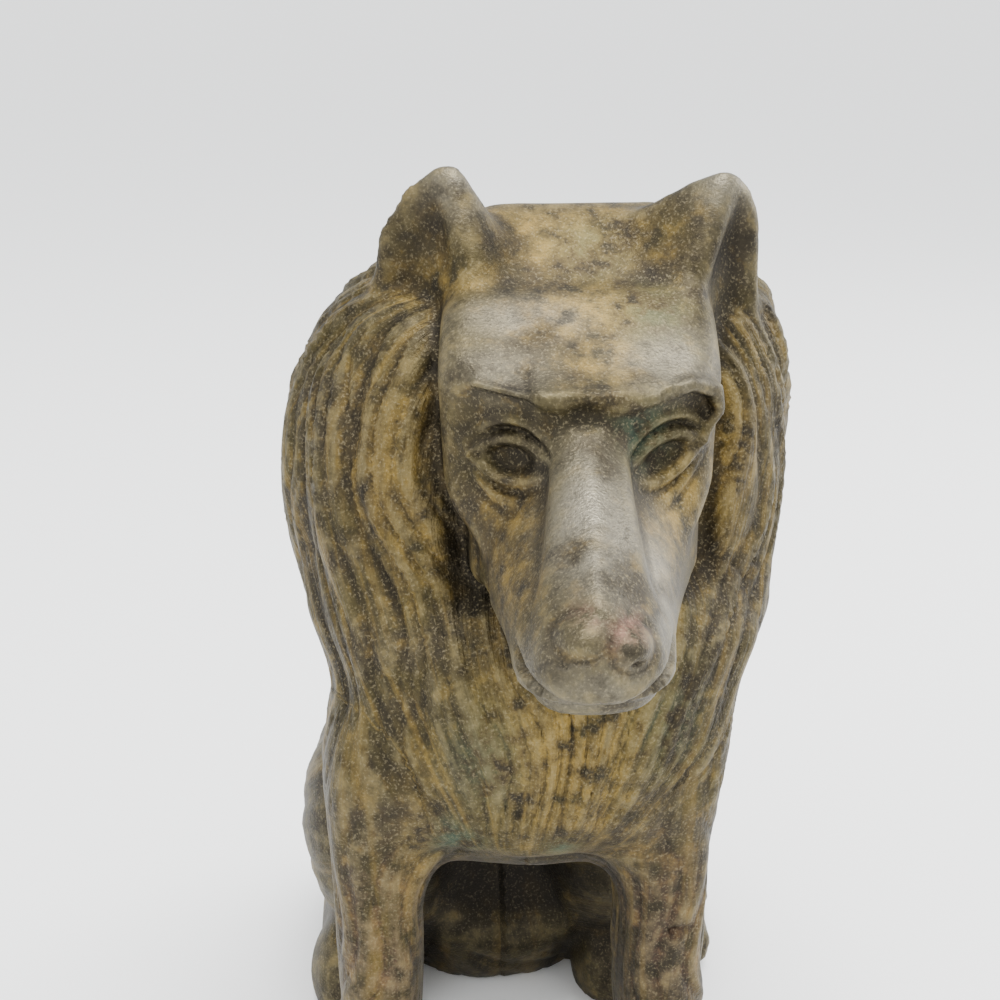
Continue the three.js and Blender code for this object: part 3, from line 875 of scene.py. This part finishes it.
@dataclass
class Casting:
    """The mesh of the figure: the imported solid, refined and drawn onto the finer form."""

    figure: Figure = field(default_factory=Figure)
    face_edge: float = 0.58
    front_edge: float = 0.72
    back_edge: float = 1.5
    passes: int = 5
    rounds: int = 8
    soften_rounds: int = 7
    weld: float = 0.002
    settle_limit: float = 0.9
    spread: float = 0.6
    relief_limit: float = 0.35
    slope_step: float = 0.05
    near_rounds: int = 6
    far_rounds: int = 60
    ridge_height: float = 0.08
    swell_height: float = 0.5

    def to_model(self, co: Array) -> Array:
        """Frame metres to the figure's own millimetres."""
        return co / MM - np.array([LEGS_MIDDLE_X, LEGS_MIDDLE_Y, 0.0])

    def to_frame(self, p: Array) -> Array:
        """The figure's own millimetres to frame metres."""
        return (p + np.array([LEGS_MIDDLE_X, LEGS_MIDDLE_Y, 0.0])) * MM

    def longest(self, middles: Array) -> Array:
        """The longest edge allowed at each place, in metres: short on the face, longer behind.

        Args:
            middles: Edge middles in frame metres.

        Returns:
            The longest edge allowed at each middle, in metres.
        """
        x, y, z = self.to_model(middles).T
        face = ease(66, 69, z) * ease(14, 9, y) * ease(17, 14, np.abs(x - 5.5))
        ears = 0.8 * ease(90, 93, z) * ease(20, 16, y)
        front = ease(18, 10, y)
        return MM * mix(mix(self.back_edge, self.front_edge, front), self.face_edge, np.maximum(face, ears))

    def write(self, bm: bmesh.types.BMesh, p: Array) -> None:
        """Puts the points back into the mesh."""
        for vert, co in zip(bm.verts, self.to_frame(p)):
            vert.co = co

    def refine(self, bm: bmesh.types.BMesh, slack: float) -> None:
        """Splits every edge that is longer than its place allows, times the slack, in a few rounds.

        Args:
            bm: The mesh.
            slack: What the longest edge allowed is multiplied by.
        """
        for _ in range(self.passes):
            edges = list(bm.edges)
            ends = np.array([[v.co[:] for v in edge.verts] for edge in edges])
            over = np.linalg.norm(ends[:, 0] - ends[:, 1], axis=1) > slack * self.longest(ends.mean(axis=1))
            if not over.any():
                return
            bmesh.ops.subdivide_edges(bm, edges=[edges[i] for i in np.flatnonzero(over)], cuts=1)
            bmesh.ops.triangulate(bm, faces=[f for f in bm.faces if len(f.verts) > 3],
                                  quad_method="SHORT_EDGE", ngon_method="EAR_CLIP")

    def slope(self, p: Array, at: Array) -> Array:
        """The smooth form's slope at each point, from a small step along each axis.

        Args:
            p: Points in the figure's millimetres, one row each.
            at: The form's distance at each point.

        Returns:
            The slope along each axis, in one row for each point.
        """
        step = self.slope_step
        parts = [(self.figure.distance(p + step * axis, False) - at) / step for axis in np.eye(3)]
        return np.stack(parts, axis=1)

    def settle(self, p: Array, web: Web) -> tuple[Array, Array]:
        """Draws the points onto the smooth form and evens out their spacing.

        Args:
            p: Points in the figure's millimetres.
            web: The points' links.

        Returns:
            The settled points, and the form's outward direction at each.
        """
        sole = p[:, 2] < 1e-3
        for ear in self.figure.ears:
            p = ear.fill_cup(p)
        for turn in range(self.rounds):
            at = self.figure.distance(p, False)
            slope = self.slope(p, at)
            length = np.linalg.norm(slope, axis=1)
            normal = slope / np.maximum(length, 1e-6)[:, None]
            step = np.clip(at / np.maximum(length, 0.5), -self.settle_limit, self.settle_limit)
            p = p - normal * step[:, None]
            if turn < self.rounds - 2:
                drift = web.average(p) - p
                drift = drift - normal * (drift * normal).sum(axis=1)[:, None]
                p = p + self.spread * drift
            p[:, 2] = np.where(sole, 0.0, np.maximum(p[:, 2], 0.0))
        normal[sole] = 0.0
        return p, normal

    def emboss(self, p: Array, normal: Array, web: Web) -> Array:
        """Softens the ears and raises the fine relief along the smooth form's own direction.

        Args:
            p: Settled points in the figure's millimetres.
            normal: The smooth form's outward direction at each.
            web: The points' links.

        Returns:
            The finished points.
        """
        loose = 0.5 * ease(91.5, 93.5, p[:, 2])[:, None]
        for _ in range(self.soften_rounds):
            p = mix(p, web.average(p), loose)
        sole = p[:, 2] < 1e-3
        for _ in range(5):
            normal = web.average(normal)
        normal = normal / np.maximum(np.linalg.norm(normal, axis=1), 1e-6)[:, None]
        normal[sole] = 0.0
        relief = np.abs(self.figure.distance(p) - self.figure.distance(p, False))
        normal = normal * ease(0.0, 0.03, relief)[:, None]
        for _ in range(6):
            step = np.clip(0.8 * self.figure.distance(p), -self.relief_limit, self.relief_limit)
            p = p - normal * step[:, None]
            p[:, 2] = np.maximum(p[:, 2], 0.0)
        return p

    def build(self, node: bpy.types.Object) -> bpy.types.Object:
        """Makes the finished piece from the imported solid's mesh.

        Args:
            node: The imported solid.

        Returns:
            The new object, at the origin, with its place in its mesh.
        """
        bm = bmesh.new()
        bm.from_mesh(node.data)
        bmesh.ops.remove_doubles(bm, verts=bm.verts[:], dist=self.weld * MM)
        for slack in (1.0, 1.2):
            self.refine(bm, slack)
            web = Web(bm)
            p, normal = self.settle(self.to_model(np.array([v.co[:] for v in bm.verts])), web)
            self.write(bm, p)
        p = self.emboss(p, normal, web)
        self.write(bm, p)
        mesh = bpy.data.meshes.new("collie_brass")
        bm.to_mesh(mesh)
        bm.free()
        self.mark(mesh, p, web)
        flow = mesh.attributes.new("flow", "FLOAT_VECTOR", "POINT")
        flow.data.foreach_set("vector", self.figure.flow(p).astype(np.float32).ravel())
        mesh.shade_smooth()
        piece = bpy.data.objects.new("collie_brass", mesh)
        bpy.context.scene.collection.objects.link(piece)
        log.info("casting: %d triangles", len(mesh.polygons))
        return piece

    def mark(self, mesh: bpy.types.Mesh, p: Array, web: Web) -> None:
        """Stores what the finish needs at each point: recess and ridge, the worn or stained places, and those
        with painted shade or painted sheen.

        Args:
            mesh: The finished mesh.
            p: Points in the figure's millimetres, one row each.
            web: The points' links.
        """
        normals = np.array([n.vector[:] for n in mesh.vertex_normals])
        near = p
        for _ in range(self.near_rounds):
            near = web.average(near)
        far = near
        for _ in range(self.far_rounds - self.near_rounds):
            far = web.average(far)
        masks = {
            "ridge": ((p - near) * normals).sum(axis=1) / self.ridge_height,
            "swell": ((p - far) * normals).sum(axis=1) / self.swell_height,
        }
        for place in PLACES:
            reach = (p - np.array(place.middle)) / np.array(place.size)
            amount = np.exp(-(reach * reach).sum(axis=1)) * place.amount
            masks[place.kind.value] = np.maximum(masks.get(place.kind.value, 0.0), amount)
        for name, values in masks.items():
            layer = mesh.attributes.new(name, "FLOAT", "POINT")
            layer.data.foreach_set("value", np.clip(values, -1.0, 1.0).astype(np.float32))


class StainOrPaintedLight(Enum):
    """What a marked place on the casting shows: a stain, painted shade or painted sheen."""

    # Near-black painted shade: the hollow under the chest, round the ears' cups and the shadow under the nose
    # pad.
    PAINTED_SHADE = "painted_shade"
    # Rubbed places: smoother, with lower roughness, and lightened by a pale painted sheen on these top-facing
    # planes.
    RUB_AND_SHEEN = "rub_and_sheen"
    GOLD = "gold"
    VERDIGRIS = "verdigris"
    PINK = "pink"


@dataclass(frozen=True)
class Place:
    """A place on the casting with a stain, painted shade or painted sheen of its own, in the figure's
    millimetres.
    """

    kind: StainOrPaintedLight
    middle: Point
    size: Point
    amount: float = 1.0


PLACES = (
    # Top-facing planes of the muzzle bridge, brows and crown: rubbed smoother, with a painted sheen in their
    # colour.
    Place(StainOrPaintedLight.RUB_AND_SHEEN, (4.0, -18, 79), (4.2, 10, 5)),
    Place(StainOrPaintedLight.RUB_AND_SHEEN, (-2.6, -4, 89), (5.0, 5, 3), 0.35),
    Place(StainOrPaintedLight.RUB_AND_SHEEN, (13.0, -3, 89), (5.0, 5, 3), 0.6),
    Place(StainOrPaintedLight.RUB_AND_SHEEN, (0.0, 2, 92), (6.0, 4, 2), 0.5),
    Place(StainOrPaintedLight.GOLD, (7.0, 3, 92.5), (6.5, 5, 3), 1.0),
    Place(StainOrPaintedLight.GOLD, (4.0, 16, 99), (12.0, 6, 4), 0.7),
    Place(StainOrPaintedLight.GOLD, (12.5, -13, 76), (3.0, 7, 3.5), 0.9),
    Place(StainOrPaintedLight.GOLD, (-3.5, -15, 74), (3.0, 8, 4), 0.6),
    # More rubbed places with painted sheen: cheek, lips and ear tips.
    Place(StainOrPaintedLight.RUB_AND_SHEEN, (9.8, -20, 74), (2.6, 9, 4), 0.9),
    Place(StainOrPaintedLight.RUB_AND_SHEEN, (3.2, -27, 69), (7.0, 4, 3), 0.6),
    Place(StainOrPaintedLight.RUB_AND_SHEEN, (20.5, 10, 103), (3.0, 4, 3), 0.7),
    Place(StainOrPaintedLight.RUB_AND_SHEEN, (-5.5, 12, 103), (3.0, 4, 3), 0.7),
    Place(StainOrPaintedLight.GOLD, (-9.0, 9, 94), (6.0, 4, 2.2), 1.0),
    Place(StainOrPaintedLight.GOLD, (6.5, 11, 97), (8.0, 5, 3), 0.7),
    Place(StainOrPaintedLight.GOLD, (7.0, -3, 90), (3.2, 7, 5), 0.75),
    Place(StainOrPaintedLight.GOLD, (-1.5, -8, 77), (3.6, 4, 2.2), 0.9),
    Place(StainOrPaintedLight.GOLD, (13.5, -6, 77), (3.4, 4, 3.5), 0.8),
    Place(StainOrPaintedLight.GOLD, (3.0, -7, 54), (7.5, 7, 11), 1.0),
    Place(StainOrPaintedLight.GOLD, (10.0, -6, 57), (4.0, 6, 8), 0.8),
    Place(StainOrPaintedLight.GOLD, (-9.0, 0, 72), (3.0, 8, 7), 0.5),
    Place(StainOrPaintedLight.GOLD, (19.5, 4, 78), (3.5, 6, 8), 0.8),
    Place(StainOrPaintedLight.GOLD, (-12.0, 2, 80), (5.0, 6, 12), 0.5),
    Place(StainOrPaintedLight.GOLD, (-10.5, -4, 38), (2.2, 3, 14), 0.6),
    Place(StainOrPaintedLight.VERDIGRIS, (-7.5, -5, 42), (3.4, 4, 3.0), 0.8),
    Place(StainOrPaintedLight.VERDIGRIS, (3.2, -6, 41.5), (1.6, 3, 1.6), 1.0),
    Place(StainOrPaintedLight.VERDIGRIS, (9.5, -5, 83), (3.0, 4, 3), 0.7),
    Place(StainOrPaintedLight.VERDIGRIS, (7.5, 12, 96), (3.5, 4, 3), 0.6),
    Place(StainOrPaintedLight.VERDIGRIS, (12.0, 3, 92), (3.5, 4, 3), 0.6),
    Place(StainOrPaintedLight.VERDIGRIS, (-4.0, -7, 52), (4.0, 5, 6), 0.5),
    Place(StainOrPaintedLight.VERDIGRIS, (12.5, -5, 55), (4.0, 5, 6), 0.5),
    # Painted shade: the dark hollow under the chest between the thighs, round the ears' cups (three places),
    # and the shadow under the nose pad.
    Place(StainOrPaintedLight.PAINTED_SHADE, (0.0, 20, 22), (15.0, 17, 16), 1.0),
    Place(StainOrPaintedLight.PAINTED_SHADE, (-1.6, 8.5, 98), (2.2, 5, 6), 0.5),
    Place(StainOrPaintedLight.PAINTED_SHADE, (-9.5, 11, 98), (4.0, 4, 4), 0.35),
    Place(StainOrPaintedLight.PAINTED_SHADE, (20.5, 9, 97), (4.0, 5, 5), 0.35),
    Place(StainOrPaintedLight.PAINTED_SHADE, (-0.5, -27.5, 70), (1.8, 2.5, 0.9), 0.5),
    Place(StainOrPaintedLight.PINK, (5.4, -27, 73), (1.6, 2.5, 1.2), 1.0),
    Place(StainOrPaintedLight.PINK, (2.6, -26, 74.2), (1.4, 2, 0.8), 0.7),
    Place(StainOrPaintedLight.PINK, (-14.0, -3, 28), (5.0, 5, 12), 0.25),
    Place(StainOrPaintedLight.PINK, (14.0, -3, 28), (5.0, 5, 12), 0.2),
)


def linear(colour: str, alpha: float = 1.0) -> tuple[float, float, float, float]:
    """An sRGB hex colour as the linear values that a shader takes.

    Args:
        colour: The colour, as # and six hex digits.
        alpha: How opaque it is.

    Returns:
        Red, green, blue and alpha as linear values.
    """
    parts = [int(colour[i : i + 2], 16) / 255 for i in (1, 3, 5)]
    red, green, blue = (c / 12.92 if c <= 0.04045 else ((c + 0.055) / 1.055) ** 2.4 for c in parts)
    return red, green, blue, alpha


def add_node(
    tree: Tree, kind: str, links: dict[str | int, Socket] | None = None, **settings: object
) -> bpy.types.Node:
    """Adds one node with its settings and links.

    Args:
        tree: The material's node tree.
        kind: The node's type.
        links: Sockets to join to the node's inputs, by the input's name or number.
        **settings: The node's own settings, or values of its inputs by their name with spaces as underscores.

    Returns:
        The new node.
    """
    node = tree.nodes.new(kind)
    for name, value in settings.items():
        if hasattr(node, name):
            setattr(node, name, value)
    for name, value in settings.items():
        if not hasattr(node, name):
            node.inputs[int(name[1:]) if name[1:].isdigit() else name.replace("_", " ")].default_value = value
    for name, socket in (links or {}).items():
        tree.links.new(socket, node.inputs[name])
    return node


@dataclass(frozen=True)
class AgedBrass:
    """Cast brass, decades old: a brown patina, rubbed smoother on the high planes under a pale painted sheen,
    and worn to gold in between; near-black painted shade lies in the deep hollows and under the nose.

    The soft, broken gloss and the grain of the sand mould are what the eye takes for old cast metal.
    """

    patina: str = "#332d21"
    dark: str = "#18140e"
    olive: str = "#3d361f"
    gold: str = "#836c35"
    # Pale colour of the painted sheen on the top-facing planes.
    sheen_grey: str = "#7b7566"
    bright: str = "#a99c7c"
    worn: str = "#6e6549"
    # Near-black colour of the painted shade in the deep hollows and under the nose.
    painted_shade: str = "#14110e"
    verdigris: str = "#33473b"
    pink: str = "#7c5c4d"
    mottle_mm: float = 7.0
    cloud_mm: float = 2.2
    grain_mm: float = 0.27
    pit_mm: float = 1.6
    hair_mm: float = 0.45
    streak_mm: float = 1.9
    stretch: float = 11.0
    dull: float = 0.5
    shiny: float = 0.32

    def scale(self, size_mm: float) -> float:
        """How often a pattern of a real size repeats in one metre."""
        return 1.0 / (size_mm * MM)

    def strands(self, tree: Tree, width_mm: float) -> Socket:
        """A pattern drawn out along the coat's flow, level where there is no coat.

        Args:
            tree: The material's node tree.
            width_mm: The width of one strand.

        Returns:
            The pattern's socket.
        """
        flow = add_node(tree, "ShaderNodeAttribute", attribute_name="flow").outputs["Vector"]
        parts = add_node(tree, "ShaderNodeSeparateXYZ", {0: flow})
        drawn = add_node(tree, "ShaderNodeMapping", {"Vector": flow})
        drawn.inputs["Scale"].default_value = (1.0 / width_mm, 1.0 / (self.stretch * width_mm), 0.0)
        lines = add_node(tree, "ShaderNodeTexNoise", {"Vector": drawn.outputs[0]}, Detail=3.0, Scale=1.0)
        mixed = add_node(tree, "ShaderNodeMix", {0: parts.outputs["Z"], 3: lines.outputs[0]}, i2=0.49)
        return mixed.outputs[0]

    def colour_steps(self, tree: Tree, place: Socket) -> tuple[Socket, Socket, Socket]:
        """Builds the patina's colour from its stains, worn places, painted sheen, painted shade and grain.

        Args:
            tree: The material's node tree.
            place: Object coordinates.

        Returns:
            The sockets of the colour, the rubbed places with their painted sheen, and the grain.
        """

        def noise(size: float, detail: float) -> Socket:
            """Noise whose blotches have a real size in millimetres."""
            made = add_node(tree, "ShaderNodeTexNoise", {"Vector": place}, Detail=detail, Roughness=0.6,
                            Scale=self.scale(size))
            return made.outputs[0]

        def span(value: Socket, low: float, high: float, top: float = 1.0) -> Socket:
            """A value's range from low to high, spread from 0 to top."""
            made = add_node(tree, "ShaderNodeMapRange", {"Value": value}, From_Min=low, From_Max=high,
                            To_Max=top)
            return made.outputs[0]

        def times(a: Socket, b: Socket) -> Socket:
            """The product of two values."""
            return add_node(tree, "ShaderNodeMath", {0: a, 1: b}, operation="MULTIPLY").outputs[0]

        def blend(share: Socket, below: Socket, above: str) -> Socket:
            """A colour laid over the colours below by a share."""
            made = add_node(tree, "ShaderNodeMix", {0: share, 6: below}, data_type="RGBA", i7=linear(above))
            return made.outputs[2]

        def mask(name: str) -> Socket:
            """A marked place's amount, stored on the mesh."""
            return add_node(tree, "ShaderNodeAttribute", attribute_name=name).outputs["Fac"]

        streak = self.strands(tree, self.streak_mm)
        mottle = noise(self.mottle_mm, 4.0)
        cloud = noise(self.cloud_mm, 5.0)
        grain = noise(self.grain_mm, 2.0)
        base = add_node(tree, "ShaderNodeMix", {0: span(mottle, 0.42, 0.62)}, data_type="RGBA",
                        i6=linear(self.patina), i7=linear(self.olive)).outputs[2]
        colour = blend(span(cloud, 0.54, 0.72, 0.45), base, self.gold)
        gold_share = times(mask(StainOrPaintedLight.GOLD.value), span(cloud, 0.36, 0.6))
        colour = blend(gold_share, colour, self.gold)
        colour = blend(span(streak, 0.52, 0.7, 0.4), colour, self.gold)
        colour = blend(span(streak, 0.48, 0.3, 0.6), colour, self.dark)
        # Pale painted sheen on the rubbed top-facing planes; the same share makes them smoother in the
        # roughness below.
        rub_and_sheen = times(mask(StainOrPaintedLight.RUB_AND_SHEEN.value), span(mottle, 0.3, 0.5))
        colour = blend(rub_and_sheen, colour, self.sheen_grey)
        colour = blend(span(cloud, 0.46, 0.3, 0.45), colour, self.dark)
        colour = blend(span(mask("swell"), -0.25, -1.0, 0.55), colour, self.dark)
        colour = blend(span(mask("ridge"), -0.3, -1.0, 0.5), colour, self.dark)
        green = times(mask(StainOrPaintedLight.VERDIGRIS.value), span(cloud, 0.42, 0.58))
        colour = blend(green, colour, self.verdigris)
        colour = blend(times(mask(StainOrPaintedLight.PINK.value), span(cloud, 0.4, 0.6)), colour, self.pink)
        colour = blend(span(grain, 0.55, 0.68, 0.2), colour, self.bright)
        colour = blend(span(grain, 0.46, 0.34, 0.28), colour, self.dark)
        worn = times(span(mask("ridge"), 0.35, 1.0, 0.4), span(cloud, 0.42, 0.62))
        colour = blend(worn, colour, self.worn)
        # Lays near-black painted shade over the hollow under the chest, the ears' cups and the shadow under
        # the nose.
        return blend(mask(StainOrPaintedLight.PAINTED_SHADE.value), colour, self.painted_shade), rub_and_sheen, grain

    def material(self) -> bpy.types.Material:
        """Makes the finish.

        Returns:
            The new material.
        """
        made = bpy.data.materials.new("aged_cast_brass")
        made.use_nodes = True
        tree = made.node_tree
        tree.nodes.clear()
        place = add_node(tree, "ShaderNodeTexCoord").outputs["Object"]
        colour, rub_and_sheen, grain = self.colour_steps(tree, place)
        # The rubbed places are smoother; their painted sheen is laid into the colour.
        shine = add_node(tree, "ShaderNodeMapRange", {"Value": rub_and_sheen}, To_Min=self.dull, To_Max=self.shiny)
        rough = add_node(tree, "ShaderNodeMath", {0: grain, 2: shine.outputs[0]}, operation="MULTIPLY_ADD",
                         i1=0.12).outputs[0]
        pits = add_node(tree, "ShaderNodeTexNoise", {"Vector": place}, Detail=3.0,
                        Scale=self.scale(self.pit_mm))
        hair = self.strands(tree, self.hair_mm)
        combed = add_node(tree, "ShaderNodeBump", {"Height": hair}, Strength=0.7, Distance=0.22 * MM)
        coarse = add_node(tree, "ShaderNodeBump", {"Height": pits.outputs[0], "Normal": combed.outputs[0]},
                          Strength=0.3, Distance=0.25 * MM)
        fine = add_node(tree, "ShaderNodeBump", {"Height": grain, "Normal": coarse.outputs[0]}, Strength=0.7,
                        Distance=0.1 * MM)
        surface = {"Base Color": colour, "Roughness": rough, "Normal": fine.outputs[0]}
        shader = add_node(tree, "ShaderNodeBsdfPrincipled", surface, Metallic=0.82)
        add_node(tree, "ShaderNodeOutputMaterial", {"Surface": shader.outputs[0]})
        return made


@dataclass(frozen=True)
class Lamp:
    """One soft square light; places and sizes are in metres, power in watts."""

    name: str
    at: Point
    power: float
    size: float


@dataclass
class Studio:
    """A plain pale floor, soft light from above and the camera at the picture's viewing angle."""

    floor_size: float = 3.0
    floor_rise: float = 2.0
    camera_height: float = 0.1194
    camera_pitch: float = 18.3
    camera_turn: float = 5.0
    legs_across: float = 0.0023
    legs_depth: float = 0.134
    lens: float = 54.0
    sensor: float = 36.0
    paper: str = "#f8f8f7"
    sky: str = "#eceef0"
    sky_strength: float = 2.4
    aim_height: float = 0.06
    lamps: tuple[Lamp, ...] = (
        Lamp("above", (0.05, -0.08, 0.6), 5.0, 0.3),
        Lamp("left", (-0.45, -0.25, 0.3), 0.6, 0.3),
        Lamp("right", (0.45, 0.15, 0.25), 1.8, 0.25),
    )

    def floor(self) -> None:
        """Makes the floor, a sheet that rises behind the figure in a wide curve."""
        bm = bmesh.new()
        bmesh.ops.create_grid(bm, x_segments=1, y_segments=1, size=self.floor_size)
        back = [edge for edge in bm.edges if all(vert.co.y > 0.0 for vert in edge.verts)]
        bmesh.ops.spin(bm, geom=back, cent=(0.0, self.floor_size, self.floor_rise), axis=(1.0, 0.0, 0.0),
                       angle=math.radians(80.0), steps=32, use_merge=False)
        mesh = bpy.data.meshes.new("studio_floor")
        bm.to_mesh(mesh)
        bm.free()
        mesh.shade_smooth()
        sheet = bpy.data.objects.new("studio_floor", mesh)
        bpy.context.scene.collection.objects.link(sheet)
        paper = bpy.data.materials.new("pale_paper")
        paper.use_nodes = True
        shader = paper.node_tree.nodes["Principled BSDF"]
        shader.inputs["Base Color"].default_value = linear(self.paper)
        shader.inputs["Roughness"].default_value = 0.8
        mesh.materials.append(paper)

    def light(self, lamp: Lamp) -> None:
        """Adds one light, turned to the figure.

        Args:
            lamp: The light's name, place, power and size.
        """
        data = bpy.data.lights.new(lamp.name, "AREA")
        data.energy = lamp.power
        data.size = lamp.size
        holder = bpy.data.objects.new(lamp.name, data)
        aim = Vector((0, 0, self.aim_height)) - Vector(lamp.at)
        holder.matrix_world = Matrix.Translation(lamp.at) @ aim.to_track_quat("-Z", "Y").to_matrix().to_4x4()
        bpy.context.scene.collection.objects.link(holder)

    def camera(self) -> None:
        """Places the camera from the forelegs' middle, which it sees a little to the right."""
        turn, pitch = math.radians(self.camera_turn), math.radians(self.camera_pitch)
        across = Vector((math.cos(turn), -math.sin(turn), 0))
        deep = Vector((math.sin(turn), math.cos(turn), 0))
        legs = Vector((LEGS_MIDDLE_X * MM, LEGS_MIDDLE_Y * MM, self.camera_height))
        eye = legs - across * self.legs_across - deep * self.legs_depth
        forward = deep * math.cos(pitch) - Vector((0, 0, math.sin(pitch)))
        above = across.cross(forward)
        data = bpy.data.cameras.new("camera")
        data.lens = self.lens
        data.sensor_width = self.sensor
        data.clip_start = 0.01
        holder = bpy.data.objects.new("camera", data)
        turned = Matrix((across, above, -forward)).transposed().to_4x4()
        holder.matrix_world = Matrix.Translation(eye) @ turned
        bpy.context.scene.collection.objects.link(holder)
        bpy.context.scene.camera = holder

    def build(self) -> None:
        """Sets up the camera, floor, lights and surroundings."""
        self.camera()
        self.floor()
        for lamp in self.lamps:
            self.light(lamp)
        world = bpy.data.worlds.new("studio")
        world.use_nodes = True
        shade = world.node_tree.nodes["Background"]
        shade.inputs["Color"].default_value = linear(self.sky)
        shade.inputs["Strength"].default_value = self.sky_strength
        bpy.context.scene.world = world
        log.info("studio ready")


def main() -> None:
    """Builds the studio and the casting."""
    logging.basicConfig(level=logging.INFO)
    Studio().build()
    piece = Casting().build(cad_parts[CASTING_NODE])
    piece.data.materials.clear()
    piece.data.materials.append(AgedBrass().material())
    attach(piece, "root")
    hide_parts(CASTING_NODE)


if __name__ == "__main__":
    main()
